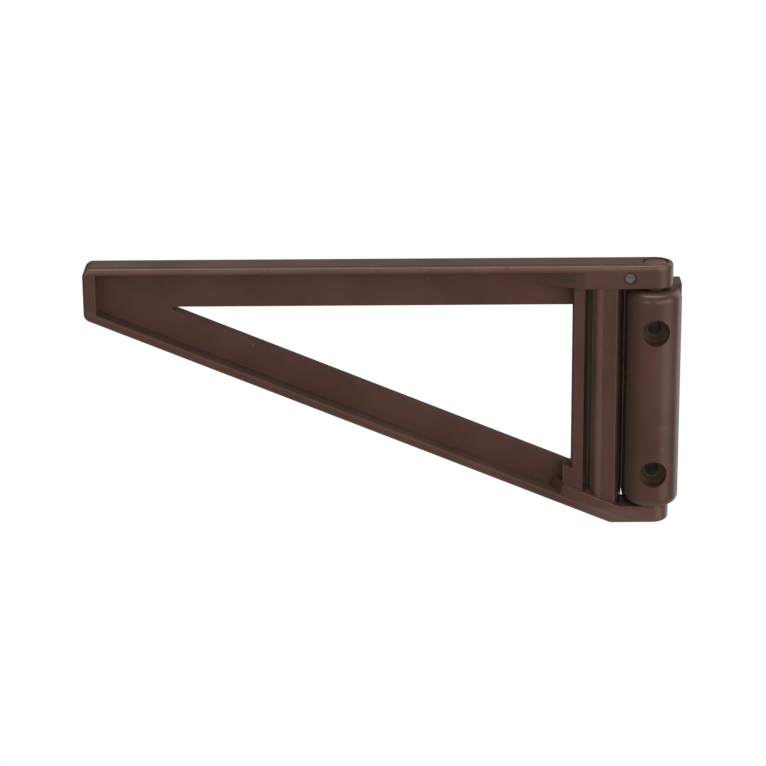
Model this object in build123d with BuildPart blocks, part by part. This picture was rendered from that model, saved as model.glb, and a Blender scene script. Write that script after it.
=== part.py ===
from build123d import *
import math
import os

# Folding shelf bracket, moulded in brown plastic.
# X runs along the wall, Y into the wall, Z up. The wall is the plane Y = 0, the hinge axis is the
# upright line X = 0, Y = -axis_to_wall, and Z = 0 is level with the middle of the hinge block.
# The arm is drawn folded flat along the wall, with its free end towards -X.

# Hinge block, screwed to the wall: a rounded body in front of a slightly wider back plate
block_height = 76.0
block_width = 18.0
block_front = 10.0  # hinge axis to the rounded front
block_rim = 3.0  # rounding of the body's top and bottom rims
axis_to_wall = 12.0
plate_width = 18.8
plate_depth = 8.5  # from the wall
plate_step = 0.3  # plate above and below the body
plate_corner = 0.6  # radius of the four upright corners
plate_edge = 0.4
screw_spacing = 50.0
screw_drop = 0.4  # middle of the screws below the middle of the block
screw_bore_radius = 2.5
screw_head_radius = 4.6
screw_head_depth = 4.2  # straight part of the recess, in front of the cone

# Arm: an open channel with its web at the back
reach = 190.5  # hinge axis to free end
arm_depth = 12.0
recess_depth = 7.5
rail_height = 15.3
rail_flange = 2.2
tip_height = 17.6
tip_rim = 4.2
tip_top_radius = 3.0
tip_bottom_radius = 2.8
brace_width = 12.6
brace_flange = 3.0
brace_band = 6.8  # depth of the solid band where the brace runs into the lower ear
foot_length = 14.0  # flat underside, measured from the hinge axis
foot_radius = 3.0
upper_ear = 8.0
lower_ear = 6.1
upper_play = 0.85  # block to upper ear
lower_play = 0.2  # block to lower ear
sweep_clearance = 0.3  # block to the parts of the arm that pass round it
column_gap = 0.75
column_width = 8.5
column_setback = 1.8
column_round = 3.0  # front edge on the side of the opening
column_edge = 1.0  # front edge on the side of the hinge
groove_width = 2.7  # between the column and the raised strip
groove_depth = 9.5
strip_setback = 3.0  # raised strip behind the front plane
strip_foot = 3.3  # run of the strip under the opening
post_width = 6.3  # between the opening and the column
opening_radius = 0.4
upper_ramp = 16.0  # slope from the solid upper ear down to the web
lower_ramp = 9.6
ramp_knee = 3.7  # steep first part of the lower slope, and what is left of its depth there
ramp_knee_depth = 1.6
arm_edge = 1.2  # rounding of the outline
channel_edge = 0.4  # rounding of the channel's rims

# Pivot pins, pressed into the block and turning in the ears
pivot_radius = 3.0
pivot_running_fit = 0.06
pivot_in_block = 7.0
pivot_head_radius = 4.0
pivot_head = 2.0
pivot_head_fit = 0.3
pivot_head_float = 0.2  # under the head and over it
pivot_head_edge = 0.4

# Cross pin, pressed through the upper ear from front to back
cross_pin_radius = 1.8
cross_pin_offset = 8.8  # from the hinge axis
cross_pin_height = 3.7  # above the underside of the ear
cross_pin_sink = 0.3
cross_pin_chamfer = 0.3
cross_mouth_radius = 2.3
cross_mouth_depth = 0.5

# Levels and planes that follow from the sizes above
block_top = block_height / 2
block_half = block_width / 2
upper_ear_bottom = block_top + upper_play
rail_top = upper_ear_bottom + upper_ear
lower_ear_top = -block_top - lower_play
arm_bottom = lower_ear_top - lower_ear
arm_half = arm_depth / 2
arm_back_y = -axis_to_wall + arm_half
arm_front_y = -axis_to_wall - arm_half
web_front_y = arm_front_y + recess_depth
axis_y = -axis_to_wall

plate_half = plate_width / 2
block_reach = max(math.hypot(plate_half, arm_half), block_front)
sweep_radius = block_reach + sweep_clearance
column_right = -sweep_radius - column_gap
column_left = column_right - column_width
opening_right = column_left - post_width
strip_right = column_left - groove_width
upper_ramp_left = strip_right - upper_ramp
lower_ramp_left = strip_right - lower_ramp

brace_drop = rail_top - tip_height - arm_bottom
brace_run = reach - foot_length
brace_angle = math.atan2(brace_drop, brace_run)


def brace_z(x, offset):
    """Height at x of the line parallel to the underside of the brace, offset above it."""
    underside = rail_top - tip_height - (x + reach) * math.tan(brace_angle)
    return underside + offset / math.cos(brace_angle)


def brace_x(z, offset):
    """Where the line parallel to the underside of the brace crosses height z."""
    return (brace_z(-reach, offset) - z) / math.tan(brace_angle) - reach


def is_channel_rim(edge):
    """True for an edge of the front face that bounds the channel, not the outline or an ear's end."""
    x, _, z = edge.center()
    above_brace = z > max(brace_z(x, (arm_edge + brace_flange) / 2), arm_bottom + lower_ear / 2)
    below_rail = z < rail_top - (arm_edge + rail_flange) / 2
    return above_brace and below_rail and -reach + tip_rim / 2 < x < -channel_edge


# Foot of the step between the thin flange of the brace and its solid band
step_rise = brace_band - brace_flange
step_x = lower_ramp_left - step_rise * math.sin(brace_angle)
step_z = brace_z(step_x, brace_flange)

arm_back_plane = Plane.XZ.offset(-arm_back_y)
arm_front_plane = Plane.XZ.offset(-arm_front_y)
axis_plane = Plane.XY.offset(arm_bottom)

# Arm: one moulding
with BuildPart() as arm:
    with BuildSketch(arm_back_plane):
        with BuildLine():
            Polyline(
                (-reach, rail_top),
                (0, rail_top),
                (0, arm_bottom),
                (-foot_length, arm_bottom),
                (-reach, rail_top - tip_height),
                close=True,
            )
        make_face()
        fillet(vertices().sort_by_distance((-reach, rail_top))[0], tip_top_radius)
        fillet(vertices().sort_by_distance((-reach, rail_top - tip_height))[0], tip_bottom_radius)
        fillet(vertices().sort_by_distance((-foot_length, arm_bottom))[0], foot_radius)
    extrude(amount=arm_depth)

    # Both ears are round about the hinge axis
    with BuildSketch(axis_plane):
        with Locations((0, axis_y)):
            Circle(arm_half)
    extrude(amount=rail_top - arm_bottom)
    rims = edges().filter_by_position(Axis.Y, arm_front_y, arm_front_y)
    rims += edges().filter_by_position(Axis.Y, arm_back_y, arm_back_y)
    rims = rims.filter_by(lambda rim: rim.center().X < 0)
    rims += edges().filter_by(GeomType.CIRCLE).filter_by_position(Axis.X, 0, arm_half)
    fillet(rims, arm_edge)

    # Channel, open to the front, from the free end to the hinge
    with BuildSketch(arm_front_plane):
        with BuildLine():
            Polyline(
                (-reach + tip_rim, rail_top - rail_flange),
                (upper_ramp_left, rail_top - rail_flange),
                (upper_ramp_left, upper_ear_bottom),
                (arm_depth, upper_ear_bottom),
                (arm_depth, lower_ear_top),
                (brace_x(lower_ear_top, brace_band), lower_ear_top),
                (lower_ramp_left, brace_z(lower_ramp_left, brace_band)),
                (step_x, step_z),
                (-reach + tip_rim, brace_z(-reach + tip_rim, brace_flange)),
                close=True,
            )
        make_face()
    extrude(amount=-recess_depth, mode=Mode.SUBTRACT)

    # The solid ends at both ears slope down to the web
    with BuildSketch(Plane.XY.offset(upper_ear_bottom)):
        with BuildLine():
            Polyline(
                (upper_ramp_left, arm_front_y),
                (strip_right, arm_front_y),
                (upper_ramp_left, web_front_y),
                close=True,
            )
        make_face()
    extrude(amount=upper_ear - rail_flange, mode=Mode.SUBTRACT)
    brace_step = Plane(
        origin=(step_x, arm_front_y, step_z),
        x_dir=(math.cos(brace_angle), 0, -math.sin(brace_angle)),
        z_dir=(math.sin(brace_angle), 0, math.cos(brace_angle)),
    )
    with BuildSketch(brace_step):
        with BuildLine():
            Polyline((0, 0), (lower_ramp, 0), (ramp_knee, ramp_knee_depth), (0, recess_depth), close=True)
        make_face()
    extrude(amount=step_rise, mode=Mode.SUBTRACT)

    # Raised strip beside the opening, and a deep groove between it and the column
    foot_x = opening_right - strip_foot
    with BuildSketch(Plane.XZ.offset(-web_front_y)):
        with BuildLine():
            Polyline(
                (opening_right, upper_ear_bottom),
                (strip_right, upper_ear_bottom),
                (strip_right, brace_z(strip_right, brace_band)),
                (foot_x, brace_z(foot_x, brace_band)),
                (foot_x, brace_z(foot_x, brace_width)),
                (opening_right, brace_z(opening_right, brace_width)),
                close=True,
            )
        make_face()
    extrude(amount=recess_depth - strip_setback)
    with BuildSketch(arm_front_plane):
        with BuildLine():
            Polyline(
                (strip_right, upper_ear_bottom),
                (column_left + column_round, upper_ear_bottom),
                (column_left + column_round, brace_z(column_left + column_round, brace_band)),
                (strip_right, brace_z(strip_right, brace_band)),
                close=True,
            )
        make_face()
    extrude(amount=-groove_depth, mode=Mode.SUBTRACT)

    # Three-cornered opening through the web
    with BuildSketch(arm_front_plane):
        with BuildLine():
            Polyline(
                (brace_x(rail_top - rail_height, brace_width), rail_top - rail_height),
                (opening_right, rail_top - rail_height),
                (opening_right, brace_z(opening_right, brace_width)),
                close=True,
            )
        make_face()
        fillet(vertices(), opening_radius)
    extrude(amount=-arm_depth, mode=Mode.SUBTRACT)

    # Upright column beside the hinge
    with BuildSketch(Plane.XY.offset(lower_ear_top - arm_edge)):
        with BuildLine():
            Polyline(
                (column_left, arm_back_y),
                (column_right, arm_back_y),
                (column_right, arm_front_y + column_setback),
                (column_left, arm_front_y + column_setback),
                close=True,
            )
        make_face()
        column_front_y = arm_front_y + column_setback
        fillet(vertices().sort_by_distance((column_left, column_front_y))[0], column_round)
        fillet(vertices().sort_by_distance((column_right, column_front_y))[0], column_edge)
    extrude(amount=upper_ear_bottom - lower_ear_top + 2 * arm_edge)

    # Room for the hinge block between the ears
    with BuildSketch(Plane.XY.offset(lower_ear_top)):
        with Locations((0, axis_y)):
            Circle(sweep_radius)
    extrude(amount=upper_ear_bottom - lower_ear_top, mode=Mode.SUBTRACT)

    # The channel's rims are slightly rounded
    front_edges = edges().filter_by_position(Axis.Y, arm_front_y, arm_front_y)
    fillet(front_edges.filter_by(GeomType.LINE).filter_by(is_channel_rim), channel_edge)

    # Pivot holes, each with a round recess for the pin's head
    pivot_hole = pivot_radius + pivot_running_fit
    head_recess = pivot_head_radius + pivot_head_fit
    head_recess_depth = pivot_head + 2 * pivot_head_float
    with Locations(Location((0, axis_y, rail_top))):
        CounterBoreHole(pivot_hole, head_recess, head_recess_depth, depth=upper_ear + sweep_clearance)
    with Locations(Location((0, axis_y, arm_bottom), (180, 0, 0))):
        CounterBoreHole(pivot_hole, head_recess, head_recess_depth, depth=lower_ear + sweep_clearance)

    # Hole for the cross pin, opened out at the front
    cross_z = upper_ear_bottom + cross_pin_height
    with Locations(Location((-cross_pin_offset, arm_front_y, cross_z), (90, 0, 0))):
        CounterBoreHole(cross_pin_radius, cross_mouth_radius, cross_mouth_depth)

# Hinge block: one moulding
with BuildPart() as hinge_block:
    # Body: flat sides and a round front
    body_top = block_top - plate_step
    front_centre = axis_y - block_front + block_half
    with BuildSketch(Plane.XY.offset(-body_top)):
        with BuildLine():
            Polyline(
                (block_half, front_centre),
                (block_half, 0),
                (-block_half, 0),
                (-block_half, front_centre),
            )
            ThreePointArc(
                (-block_half, front_centre),
                (0, axis_y - block_front),
                (block_half, front_centre),
            )
        make_face()
    extrude(amount=2 * body_top)
    rims = edges().filter_by_position(Axis.Z, body_top, body_top)
    rims += edges().filter_by_position(Axis.Z, -body_top, -body_top)
    fillet(rims.filter_by_position(Axis.Y, axis_y - block_front, -plate_edge), block_rim)

    # Back plate against the wall
    with BuildSketch(Plane.XY.offset(-block_top)):
        with Locations((0, -plate_depth / 2)):
            RectangleRounded(plate_width, plate_depth, plate_corner)
    extrude(amount=block_height)
    rims = edges().filter_by_position(Axis.Z, block_top, block_top)
    rims += edges().filter_by_position(Axis.Z, -block_top, -block_top)
    fillet(rims, plate_edge)

    # Screw holes: a straight recess, a cone for the head and a bore through to the wall
    block_front_y = axis_y - block_front
    with Locations(Location((0, block_front_y, -screw_drop), (90, 0, 0))):
        with GridLocations(0, screw_spacing, 1, 2):
            CounterBoreHole(screw_bore_radius, screw_head_radius, screw_head_depth)
    cone_mouth_y = block_front_y + screw_head_depth
    with Locations(Location((0, cone_mouth_y, -screw_drop), (90, 0, 0))):
        with GridLocations(0, screw_spacing, 1, 2):
            CounterSinkHole(screw_bore_radius, screw_head_radius, counter_sink_angle=90)

    # Blind holes for the pivot pins
    with Locations(Location((0, axis_y, body_top)), Location((0, axis_y, -body_top), (180, 0, 0))):
        Hole(pivot_radius, depth=pivot_in_block)

arm.part.label = "arm"
hinge_block.part.label = "hinge_block"


def pivot_pin(name, ear_face, block_face):
    """Headed pin from the outer face of an ear into the block."""
    direction = math.copysign(1, ear_face - block_face)
    top = ear_face - direction * pivot_head_float
    tail = block_face - direction * pivot_in_block
    with BuildPart() as pin:
        with BuildSketch(Plane.XZ.offset(-axis_y)):
            with BuildLine():
                Polyline(
                    (0, top),
                    (pivot_head_radius, top),
                    (pivot_head_radius, top - direction * pivot_head),
                    (pivot_radius, top - direction * pivot_head),
                    (pivot_radius, tail),
                    (0, tail),
                    close=True,
                )
            make_face()
        revolve(axis=Axis((0, axis_y, 0), (0, 0, 1)))
        head_rim = edges().filter_by(GeomType.CIRCLE).filter_by_position(Axis.Z, top, top)
        chamfer(head_rim, pivot_head_edge)
    pin.part.label = name
    return pin.part


upper_pivot_pin = pivot_pin("upper_pivot_pin", rail_top, body_top)
lower_pivot_pin = pivot_pin("lower_pivot_pin", arm_bottom, -body_top)

# Cross pin: plain steel dowel
with BuildPart() as cross_pin:
    with BuildSketch(Plane.XZ.offset(-arm_back_y + cross_pin_sink)):
        with Locations((-cross_pin_offset, cross_z)):
            Circle(cross_pin_radius)
    extrude(amount=arm_depth - 2 * cross_pin_sink)
    chamfer(edges().filter_by(GeomType.CIRCLE), cross_pin_chamfer)
cross_pin.part.label = "cross_pin"

os.makedirs("parts", exist_ok=True)
for piece in (arm.part, hinge_block.part, upper_pivot_pin, lower_pivot_pin, cross_pin.part):
    export_step(piece, f"parts/{piece.label}.step")
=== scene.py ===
import math

import bpy
from mathutils import Matrix, Vector


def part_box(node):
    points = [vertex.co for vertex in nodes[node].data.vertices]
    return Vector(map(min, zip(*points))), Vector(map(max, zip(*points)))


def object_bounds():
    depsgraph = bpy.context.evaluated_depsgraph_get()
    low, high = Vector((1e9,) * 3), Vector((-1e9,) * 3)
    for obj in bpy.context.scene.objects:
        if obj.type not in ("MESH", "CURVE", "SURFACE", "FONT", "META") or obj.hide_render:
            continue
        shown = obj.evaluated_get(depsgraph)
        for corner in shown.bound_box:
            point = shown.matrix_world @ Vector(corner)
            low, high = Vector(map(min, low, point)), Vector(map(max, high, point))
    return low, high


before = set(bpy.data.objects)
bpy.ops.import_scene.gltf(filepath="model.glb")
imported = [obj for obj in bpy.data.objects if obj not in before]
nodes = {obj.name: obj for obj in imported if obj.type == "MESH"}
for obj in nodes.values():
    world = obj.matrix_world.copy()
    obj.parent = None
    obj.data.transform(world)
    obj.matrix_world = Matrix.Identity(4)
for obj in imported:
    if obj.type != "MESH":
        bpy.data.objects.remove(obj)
cad_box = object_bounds()
arm_low, arm_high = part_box("arm")


class Tree:
    """Node tree of a material or the world. The functions take sockets or plain values."""

    def __init__(self, owner):
        owner.use_nodes = True
        self.nodes = owner.node_tree.nodes
        self.links = owner.node_tree.links
        self.nodes.clear()

    def put(self, value, socket):
        """Link a socket, or set a number or a colour."""
        if isinstance(value, bpy.types.NodeSocket):
            self.links.new(value, socket)
        elif isinstance(value, tuple):
            socket.default_value = (*value, 1.0)
        else:
            socket.default_value = value

    def coordinates(self, kind):
        return self.nodes.new("ShaderNodeTexCoord").outputs[kind]

    def split(self, vector):
        """The x, y and z of a vector."""
        node = self.nodes.new("ShaderNodeSeparateXYZ")
        self.links.new(vector, node.inputs["Vector"])
        return node.outputs["X"], node.outputs["Y"], node.outputs["Z"]

    def maths(self, operation, *values):
        node = self.nodes.new("ShaderNodeMath")
        node.operation = operation
        for socket, value in zip(node.inputs, values):
            self.put(value, socket)
        return node.outputs[0]

    def product(self, first, second):
        return self.maths("MULTIPLY", first, second)

    def total(self, first, second):
        return self.maths("ADD", first, second)

    def larger(self, first, second):
        return self.maths("MAXIMUM", first, second)

    def ramp(self, value, low, high, out_low=0.0, out_high=1.0):
        """The value's range low..high mapped to out_low..out_high, smoothly and clamped."""
        node = self.nodes.new("ShaderNodeMapRange")
        node.interpolation_type = "SMOOTHSTEP"
        node.inputs["From Min"].default_value = low
        node.inputs["From Max"].default_value = high
        node.inputs["To Min"].default_value = out_low
        node.inputs["To Max"].default_value = out_high
        self.links.new(value, node.inputs["Value"])
        return node.outputs["Result"]

    def within(self, value, limits, soft):
        """1 between the two limits, 0 outside, with soft edges."""
        low, high = limits
        rising = self.ramp(value, low - soft, low)
        falling = self.ramp(value, high, high + soft, 1.0, 0.0)
        return self.product(rising, falling)

    def patch(self, first, second, centre, inner, outer, most, flatness=1.0):
        """Soft patch round a centre: most inside the inner radius, 0 past the outer one.

        It lies in the plane of two coordinates, and flatness squeezes it along the second.
        """
        across = self.maths("SUBTRACT", first, centre[0])
        along = self.maths("SUBTRACT", self.product(second, flatness), centre[1] * flatness)
        squares = self.total(self.product(across, across), self.product(along, along))
        return self.ramp(self.maths("SQRT", squares), inner, outer, most, 0.0)

    def noise(self, vector, scale, detail=2.0, roughness=0.5, stretch=(1, 1, 1)):
        """Noise at a scale per metre, stretched along the axes."""
        mapping = self.nodes.new("ShaderNodeMapping")
        mapping.inputs["Scale"].default_value = stretch
        self.links.new(vector, mapping.inputs["Vector"])
        texture = self.nodes.new("ShaderNodeTexNoise")
        texture.inputs["Scale"].default_value = scale
        texture.inputs["Detail"].default_value = detail
        texture.inputs["Roughness"].default_value = roughness
        self.links.new(mapping.outputs["Vector"], texture.inputs["Vector"])
        return texture.outputs["Fac"]

    def mix(self, factor, first, second):
        """Two colours mixed: the first at factor 0, the second at 1."""
        node = self.nodes.new("ShaderNodeMix")
        node.data_type = "RGBA"
        sockets = [socket for socket in node.inputs if socket.enabled]
        for socket, value in zip(sockets, (factor, first, second)):
            self.put(value, socket)
        return next(socket for socket in node.outputs if socket.enabled)

    def bump(self, height, distance, strength, normal=None):
        node = self.nodes.new("ShaderNodeBump")
        node.inputs["Strength"].default_value = strength
        node.inputs["Distance"].default_value = distance
        self.links.new(height, node.inputs["Height"])
        if normal is not None:
            self.links.new(normal, node.inputs["Normal"])
        return node.outputs["Normal"]

    def mix_shaders(self, factor, first, second):
        node = self.nodes.new("ShaderNodeMixShader")
        for socket, value in zip(node.inputs, (factor, first, second)):
            self.links.new(value, socket)
        return node.outputs["Shader"]

    def principled(self):
        """A Principled shader on the material's surface."""
        shader = self.nodes.new("ShaderNodeBsdfPrincipled")
        output = self.nodes.new("ShaderNodeOutputMaterial")
        self.links.new(shader.outputs["BSDF"], output.inputs["Surface"])
        return shader


# Painted highlights, painted shade, a painted dark reflection and a pale film painted to lighten
# shade;
# also rub marks and dull edges. A mask takes the tree and the x, y and z sockets, in metres in the
# shared frame at rest, and gives 0 to 1. The places follow the CAD's shapes: tip_height, foot_length
# and brace_flange are its sizes of the sloping brace

arm_front = arm_low[1]
arm_bottom = arm_low[2]
arm_top = arm_high[2]
# Places of the painted highlights: long front edge, column's rounded edge, top by the pin and low on
# the foot
ridge_line = (arm_front + 0.0004, arm_top - 0.0004)
column_edge = (-0.0183, arm_front + 0.0019)
pivot_spot = (0.0012, arm_front + 0.0030)
foot_painted_sheen = (arm_bottom + 0.0062, arm_bottom + 0.0045)
# Places of the pale film painted to lighten shade in the groove and on the column's side
groove_width = (-0.0217, -0.0188)
groove_depth = (arm_front + 0.0045, arm_front + 0.0098)
column_side = (-0.0108, -0.0094)
column_depth = (arm_front + 0.0036, arm_front + 0.0098)
flange_to_ear = (arm_bottom + 0.0066, arm_top - 0.0088)
# Places of the painted dark reflection behind the long front edge and of the painted shade beside the
# upper ear
behind_ridge = (arm_front + 0.0014, arm_front + 0.0026)
painted_shade_spot = (-0.0292, arm_top - 0.0052)
tip_height = 0.0176
foot_length = 0.014
brace_flange = 0.0030
screws_middle = -0.0004
screw_place = (0.0, 0.025)
scratch_place = (0.0030, -0.0088)
rub_place = (0.0028, -0.0165)
plate_to_front = (-0.0070, -0.0095)


def on_top(tree, z, most=1.0):
    """The arm's top face."""
    return tree.ramp(z, arm_top - 0.0010, arm_top - 0.0004, 0.0, most)


def pivot_painted_highlight(tree, x, y, z):
    """Painted highlight on the top of the upper ear and of its pin, at the front."""
    around = tree.patch(x, y, pivot_spot, 0.0030, 0.0056, 0.6)
    return tree.product(around, on_top(tree, z))


def arm_painted_highlights(tree, x, y, z):
    """Painted highlights on the long front edge under the shelf, the column's rounded edge and the
    top by the pin, and a painted sheen low on the foot.
    """
    ridge = tree.patch(y, z, ridge_line, 0.0008, 0.0017, 0.50)
    column = tree.patch(x, y, column_edge, 0.0004, 0.0013, 0.45)
    foot = tree.ramp(z, *foot_painted_sheen, 0.0, 0.32)
    pivot = pivot_painted_highlight(tree, x, y, z)
    return tree.larger(tree.larger(ridge, column), tree.larger(foot, pivot))


def arm_shade_lift(tree, x, y, z):
    """Bottom of the upright groove and the side of the column that faces the hinge block: a pale film
    painted to lighten their shade.
    """
    groove = tree.product(
        tree.within(x, groove_width, 0.0002),
        tree.within(y, groove_depth, 0.0012),
    )
    side = tree.product(
        tree.within(x, column_side, 0.0003),
        tree.within(y, column_depth, 0.0010),
    )
    return tree.product(tree.larger(groove, side), tree.within(z, flange_to_ear, 0.0004))


def dark_reflection_line(tree, y, z, most):
    """Line along the top, just behind the long front edge, where a dark reflection is painted."""
    return tree.product(tree.within(y, behind_ridge, 0.0006), on_top(tree, z, most))


def arm_painted_shade_and_reflection(tree, x, y, z):
    """A short dark patch of painted shade on the front, beside the upper ear, and the painted dark
    reflection line.
    """
    painted_shade_patch = tree.patch(x, z, painted_shade_spot, 0.0020, 0.0048, 0.65, flatness=4.0)
    return tree.larger(painted_shade_patch, dark_reflection_line(tree, y, z, 0.4))


def arm_dull(tree, x, y, z):
    """Inner edge of the sloping brace's lower flange, and the line of the painted dark reflection."""
    rise = arm_top - tip_height - arm_bottom
    run = -foot_length - arm_low[0]
    slope = math.hypot(rise, run)
    across = tree.total(x, foot_length)
    above = tree.maths("SUBTRACT", z, arm_bottom)
    depth = tree.total(tree.product(across, rise / slope), tree.product(above, run / slope))
    edge = tree.within(depth, (brace_flange - 0.0007, brace_flange + 0.0003), 0.0003)
    return tree.larger(edge, dark_reflection_line(tree, y, z, 0.75))


def block_rubbed(tree, x, y, z):
    """Two short rub marks low on the front, right of the middle."""
    scratch = tree.patch(x, z, scratch_place, 0.0012, 0.0026, 0.30, flatness=5.0)
    rub = tree.patch(x, z, rub_place, 0.0004, 0.0014, 0.28, flatness=1.5)
    return tree.larger(scratch, rub)


def screw_recess(tree, x, z, inner, outer, most):
    """Both screw recesses, out to a radius."""
    height = tree.maths("ABSOLUTE", tree.maths("SUBTRACT", z, screws_middle))
    return tree.patch(x, height, screw_place, inner, outer, most)


def gap_side(tree, x, y, start, full, most):
    """Side of the block's rounded front that faces the column."""
    side = tree.ramp(x, start, full, 0.0, most)
    return tree.product(side, tree.ramp(y, *plate_to_front))


def block_painted_shade(tree, x, y, z):
    """Painted shade in the cones of the two screw recesses and on the side that faces the column."""
    cone = screw_recess(tree, x, z, 0.0034, 0.0044, 0.6)
    return tree.larger(cone, gap_side(tree, x, y, start=-0.0038, full=-0.0066, most=0.45))


def block_shade_lift(tree, x, y, z):
    """Inside of the two screw bores, and faintly the side that faces the column: a pale film painted
    to grey and lighten their shade.
    """
    bore = screw_recess(tree, x, z, 0.0025, 0.0028, 0.7)
    return tree.larger(bore, gap_side(tree, x, y, start=-0.0084, full=-0.0089, most=0.3))


# Materials

brown = (0.090, 0.040, 0.027)
scuff_colour = (0.20, 0.14, 0.12)
# Colour of the painted shade and the painted dark reflection
painted_shade_and_reflection_colour = (0.040, 0.036, 0.027)
# Pale film painted to lighten and grey deep shade, and its roughness
shade_lift_colour = (0.185, 0.163, 0.128)
shade_lift_roughness = 0.85
dull_roughness = 0.8
pattern_shift = (0.13, 0.07, 0.11)


def tinted(*factors):
    """The plastic's brown with red, green and blue multiplied."""
    return tuple(part * factor for part, factor in zip(brown, factors))


def moulded_plastic(name, seed, highlight_and_wear=None, painted_shade_and_reflection=None, dull=None, shade_lift=None):
    """Dark glossy moulding: faint flow marks, fine skin and small scuffs.

    The seed shifts the patterns. The last four are masks: painted highlights and rub marks, painted
    shade and dark reflection, edges that have lost their gloss, and a pale film painted to lighten
    shade.
    """
    material = bpy.data.materials.new(name)
    tree = Tree(material)
    shader = tree.principled()
    place = tree.coordinates("Object")
    xyz = tree.split(place)
    offset = tree.nodes.new("ShaderNodeVectorMath")
    offset.operation = "ADD"
    offset.inputs[1].default_value = tuple(shift * seed for shift in pattern_shift)
    tree.links.new(place, offset.inputs[0])
    vector = offset.outputs["Vector"]
    cloud = tree.noise(vector, 45.0, 4.0, 0.55)
    flow = tree.noise(vector, 90.0, 3.0, 0.6, (0.25, 1.0, 1.0))
    skin = tree.noise(vector, 2600.0, 3.0, 0.6)
    waves = tree.noise(vector, 120.0, 2.0, 0.4)
    marks = tree.noise(vector, 700.0, 5.0, 0.65)
    patches = tree.noise(vector, 70.0, 2.0, 0.5)
    tint = tree.noise(vector, 160.0, 3.0, 0.6)

    clouds = tree.ramp(cloud, 0.35, 0.65)
    colour = tree.mix(clouds, tinted(0.88, 0.88, 0.88), tinted(1.10, 1.12, 1.14))
    streaks = tree.ramp(flow, 0.52, 0.68, 0.0, 0.5)
    colour = tree.mix(streaks, colour, tinted(1.20, 0.94, 0.98))
    olive = tree.ramp(tint, 0.50, 0.64, 0.0, 0.5)
    colour = tree.mix(olive, colour, tinted(0.84, 1.14, 0.98))
    scuffs = tree.product(tree.ramp(marks, 0.64, 0.72), tree.ramp(patches, 0.54, 0.64, 0.0, 0.5))
    colour = tree.mix(scuffs, colour, scuff_colour)
    roughness = tree.ramp(patches, 0.3, 0.7, 0.27, 0.34)
    # Paler colour: painted highlights on the arm and pins, and rub marks on the block
    if highlight_and_wear is not None:
        highlight_and_wear_amount = tree.product(highlight_and_wear(tree, *xyz), tree.ramp(marks, 0.30, 0.60, 0.65, 1.0))
        colour = tree.mix(highlight_and_wear_amount, colour, tinted(2.0, 2.4, 2.8))
    # Dark colour: painted shade and a painted dark reflection
    if painted_shade_and_reflection is not None:
        painted_shade_and_reflection_amount = tree.product(painted_shade_and_reflection(tree, *xyz), tree.ramp(marks, 0.30, 0.60, 0.5, 1.0))
        colour = tree.mix(painted_shade_and_reflection_amount, colour, painted_shade_and_reflection_colour)
    if dull is not None:
        roughness = tree.larger(roughness, tree.product(dull(tree, *xyz), dull_roughness))
    # Pale film painted to lighten and grey deep shade, made rough
    if shade_lift is not None:
        shade_lift_amount = shade_lift(tree, *xyz)
        colour = tree.mix(shade_lift_amount, colour, shade_lift_colour)
        roughness = tree.larger(roughness, tree.product(shade_lift_amount, shade_lift_roughness))
    tree.links.new(colour, shader.inputs["Base Color"])
    tree.links.new(roughness, shader.inputs["Roughness"])
    shader.inputs["IOR"].default_value = 1.5
    fine = tree.bump(skin, 0.00002, 0.5)
    tree.links.new(tree.bump(waves, 0.00012, 0.35, fine), shader.inputs["Normal"])
    return material


def cut_steel(name):
    """Sawn and ground end of a steel dowel."""
    material = bpy.data.materials.new(name)
    tree = Tree(material)
    shader = tree.principled()
    place = tree.coordinates("Object")
    grain = tree.noise(place, 2500.0, 3.0, 0.6, (0.15, 1.0, 1.0))
    stain = tree.noise(place, 900.0, 3.0, 0.55)
    colour = tree.mix(tree.ramp(grain, 0.35, 0.65), (0.22, 0.19, 0.18), (0.33, 0.31, 0.30))
    colour = tree.mix(tree.ramp(stain, 0.5, 0.7, 0.0, 0.6), colour, (0.13, 0.10, 0.09))
    tree.links.new(colour, shader.inputs["Base Color"])
    tree.links.new(tree.ramp(stain, 0.3, 0.7, 0.35, 0.6), shader.inputs["Roughness"])
    shader.inputs["Metallic"].default_value = 0.9
    tree.links.new(tree.bump(grain, 0.00003, 0.6), shader.inputs["Normal"])
    return material


looks = {
    "arm": moulded_plastic(
        "arm_plastic", 1, highlight_and_wear=arm_painted_highlights, painted_shade_and_reflection=arm_painted_shade_and_reflection, dull=arm_dull, shade_lift=arm_shade_lift,
    ),
    "hinge_block": moulded_plastic(
        "block_plastic", 2, highlight_and_wear=block_rubbed, painted_shade_and_reflection=block_painted_shade, shade_lift=block_shade_lift,
    ),
    "upper_pivot_pin": moulded_plastic("upper_pin_plastic", 3, highlight_and_wear=pivot_painted_highlight),
    "lower_pivot_pin": moulded_plastic("lower_pin_plastic", 4),
    "cross_pin": cut_steel("dowel_steel"),
}
for node_name, material in looks.items():
    for slot in nodes[node_name].material_slots:
        slot.link = "OBJECT"
        slot.material = material


# Stage: a pale floor well below the bracket, which hangs as it would on a wall

floor_drop = 0.9
floor_reach = 6.0
floor_bounce = 0.7


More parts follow.
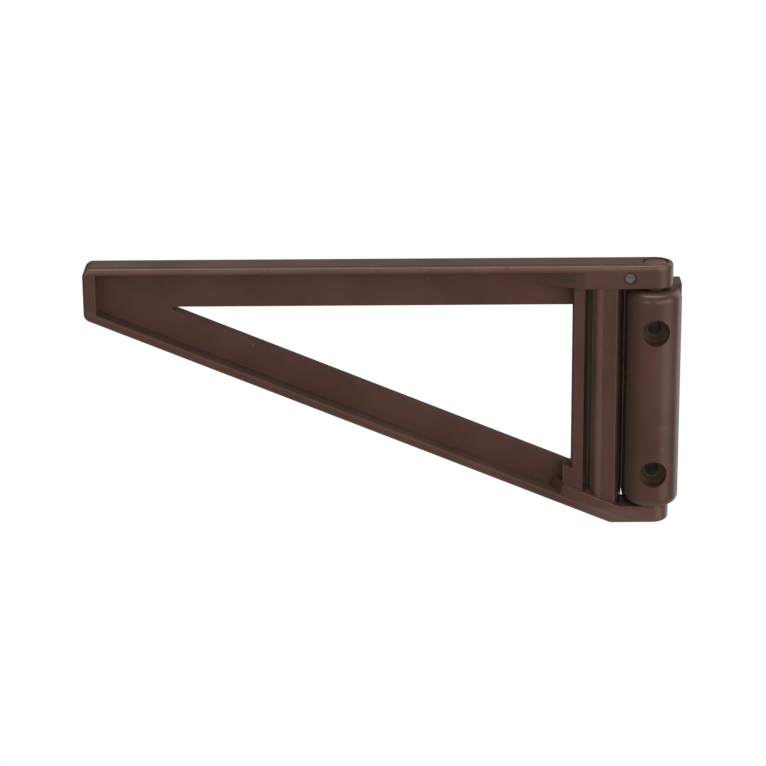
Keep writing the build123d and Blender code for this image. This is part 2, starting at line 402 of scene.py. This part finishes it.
def backdrop_white(name, bounce):
    """White to the camera, clear to reflections, which find the room beyond, and else pale."""
    material = bpy.data.materials.new(name)
    tree = Tree(material)
    output = tree.nodes.new("ShaderNodeOutputMaterial")
    path = tree.nodes.new("ShaderNodeLightPath")
    pale = tree.nodes.new("ShaderNodeBsdfDiffuse")
    pale.inputs["Color"].default_value = (bounce, bounce, bounce, 1.0)
    glow = tree.nodes.new("ShaderNodeEmission")
    clear = tree.nodes.new("ShaderNodeBsdfTransparent")
    reflected = tree.mix_shaders(
        path.outputs["Is Glossy Ray"], pale.outputs["BSDF"], clear.outputs["BSDF"],
    )
    seen = tree.mix_shaders(path.outputs["Is Camera Ray"], reflected, glow.outputs["Emission"])
    tree.links.new(seen, output.inputs["Surface"])
    return material


low, high = cad_box
centre_x = (low[0] + high[0]) / 2
floor_z = low[2] - floor_drop
left, right = centre_x - floor_reach, centre_x + floor_reach
near, far = -floor_reach, floor_reach
floor_mesh = bpy.data.meshes.new("floor")
floor_mesh.from_pydata(
    [(left, near, floor_z), (right, near, floor_z), (right, far, floor_z), (left, far, floor_z)],
    [], [(0, 1, 2, 3)],
)
floor = bpy.data.objects.new("floor", floor_mesh)
bpy.context.scene.collection.objects.link(floor)
floor_mesh.materials.append(backdrop_white("floor_white", floor_bounce))


# World: white to the camera. Reflections find a dim room in front of the bracket, a pale band
# straight behind it, a bright corner behind it to the right and a pale table below. Diffuse light
# gets an even fill

room_grey = (0.8, 0.8, 0.8)
fill_strength = 0.70

world = bpy.data.worlds.new("studio")
bpy.context.scene.world = world
room = Tree(world)


def background(colour, strength):
    node = room.nodes.new("ShaderNodeBackground")
    room.put(colour, node.inputs["Color"])
    room.put(strength, node.inputs["Strength"])
    return node.outputs["Background"]


east, north, up = room.split(room.coordinates("Generated"))
behind = room.ramp(north, -0.15, 0.30)
straight_behind = room.ramp(east, 0.08, 0.20, 1.0, 0.3)
low_band = room.ramp(up, 0.14, 0.34, 0.0, 1.0)
high_band = room.ramp(up, 0.38, 0.56, 1.0, 0.05)
band_strength = room.ramp(north, 0.0, 1.0, 0.26, 0.42)
pale_band = room.product(
    room.product(behind, straight_behind),
    room.product(room.product(low_band, high_band), band_strength),
)
corner = room.product(room.ramp(east, 0.30, 0.60, 0.0, 1.3), room.ramp(north, 0.20, 0.55))
table = room.ramp(up, -0.45, -0.90, 0.05, 0.55)
surround = background(room_grey, room.total(pale_band, room.total(corner, table)))
fill = background(room_grey, fill_strength)
white = background((1.0, 1.0, 1.0), 1.0)
path = room.nodes.new("ShaderNodeLightPath")
bounced = room.mix_shaders(path.outputs["Is Glossy Ray"], fill, surround)
seen = room.mix_shaders(path.outputs["Is Camera Ray"], bounced, white)
output = room.nodes.new("ShaderNodeOutputWorld")
room.links.new(seen, output.inputs["Surface"])


# Lamps and camera. Azimuth 0 is the camera's side and 90 is towards +X. Angles are in degrees,
# lengths in metres

target = Vector((-0.09098, -0.012, 0.00463))
camera_azimuth = 0.402
camera_elevation = 18.726
camera_roll = -0.486
camera_distance = 0.9906
lens_mm = 137.984334


def towards(azimuth, elevation):
    """Unit vector from the bracket."""
    a, e = math.radians(azimuth), math.radians(elevation)
    return Vector((math.sin(a) * math.cos(e), -math.cos(a) * math.cos(e), math.sin(e)))


def softbox(name, azimuth, elevation, distance, width, height, brightness):
    """Area light aimed at the bracket."""
    data = bpy.data.lights.new(name, "AREA")
    data.shape = "RECTANGLE"
    data.size = width
    data.size_y = height
    data.energy = brightness * width * height * math.pi
    light = bpy.data.objects.new(name, data)
    back = towards(azimuth, elevation)
    light.location = target + distance * back
    light.rotation_euler = back.to_track_quat("Z", "Y").to_euler()
    bpy.context.scene.collection.objects.link(light)


softbox("key", azimuth=41, elevation=13, distance=1.3, width=1.6, height=0.8, brightness=2.0)
softbox("front", azimuth=-32, elevation=8, distance=1.3, width=0.6, height=0.5, brightness=1.9)
softbox("right", azimuth=57, elevation=-18, distance=1.3, width=0.9, height=0.5, brightness=0.9)
softbox("left", azimuth=-58, elevation=4, distance=1.4, width=0.7, height=0.9, brightness=0.3)
softbox("overhead", azimuth=0, elevation=91, distance=1.2, width=1.2, height=0.36, brightness=4.4)

camera_data = bpy.data.cameras.new("camera")
camera_data.sensor_width = 36.0
camera_data.lens = lens_mm
camera_data.clip_end = 50.0
camera = bpy.data.objects.new("camera", camera_data)
back = towards(camera_azimuth, camera_elevation)
roll = Matrix.Rotation(math.radians(camera_roll), 3, "Z")
turned = back.to_track_quat("Z", "Y").to_matrix() @ roll
camera.matrix_world = Matrix.Translation(target + camera_distance * back) @ turned.to_4x4()
bpy.context.scene.collection.objects.link(camera)
bpy.context.scene.camera = camera
bpy.context.scene.view_settings.view_transform = "Standard"
